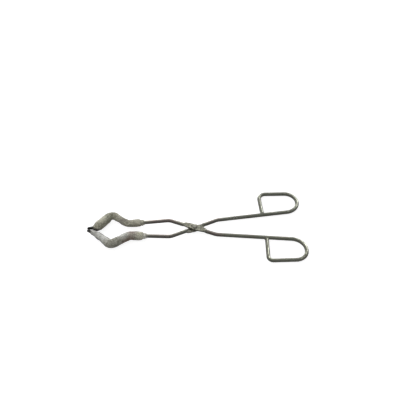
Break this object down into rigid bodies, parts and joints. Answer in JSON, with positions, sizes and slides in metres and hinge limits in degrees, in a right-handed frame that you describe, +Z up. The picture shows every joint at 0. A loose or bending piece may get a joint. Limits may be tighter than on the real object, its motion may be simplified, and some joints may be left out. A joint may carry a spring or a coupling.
{
  "type": "crucible tongs",
  "caption": "Crucible tongs: bent steel rods on a riveted lap joint, closed finger loops behind, bowed jaws in front with woven heat-proof sleeves and bare tips.",
  "frame": {"origin": "centre of the rivet's lower head face; the tongs lie flat, and the rods' centrelines are 3.8 mm above it", "axes": "+X from the joint towards the finger loops, +Z up along the rivet, +Y across, away from the jaw of the under arm"},
  "size_m": [0.256, 0.109, 0.0116],
  "materials": {
    "top_arm_steel": "bright drawn rod, dulled by handling",
    "under_arm_steel": "bright drawn rod, dulled by handling",
    "rivet_steel": "set rivet, low domed heads",
    "top_sleeve_fibre": "braided glass-fibre sleeve, mottled grey with olive and brown",
    "under_sleeve_fibre": "braided glass-fibre sleeve, mottled grey with olive and brown",
    "tie_yarn": "wound glass yarn"
  },
  "bodies": {
    "top_jaw_arm": {"top_arm": "top_arm_steel", "pivot_rivet": "rivet_steel", "top_arm_sleeve": "top_sleeve_fibre", "top_sleeve_tie": "tie_yarn"},
    "under_jaw_arm": {"under_arm": "under_arm_steel", "under_arm_sleeve": "under_sleeve_fibre", "under_sleeve_tie": "tie_yarn"}
  },
  "joints": [
    {"name": "rivet_pivot", "type": "hinge", "parent": "top_jaw_arm", "child": "under_jaw_arm", "pos_m": [0, 0, 0.0038], "axis": [0, 0, 1], "range_deg": [0, 45]}
  ]
}
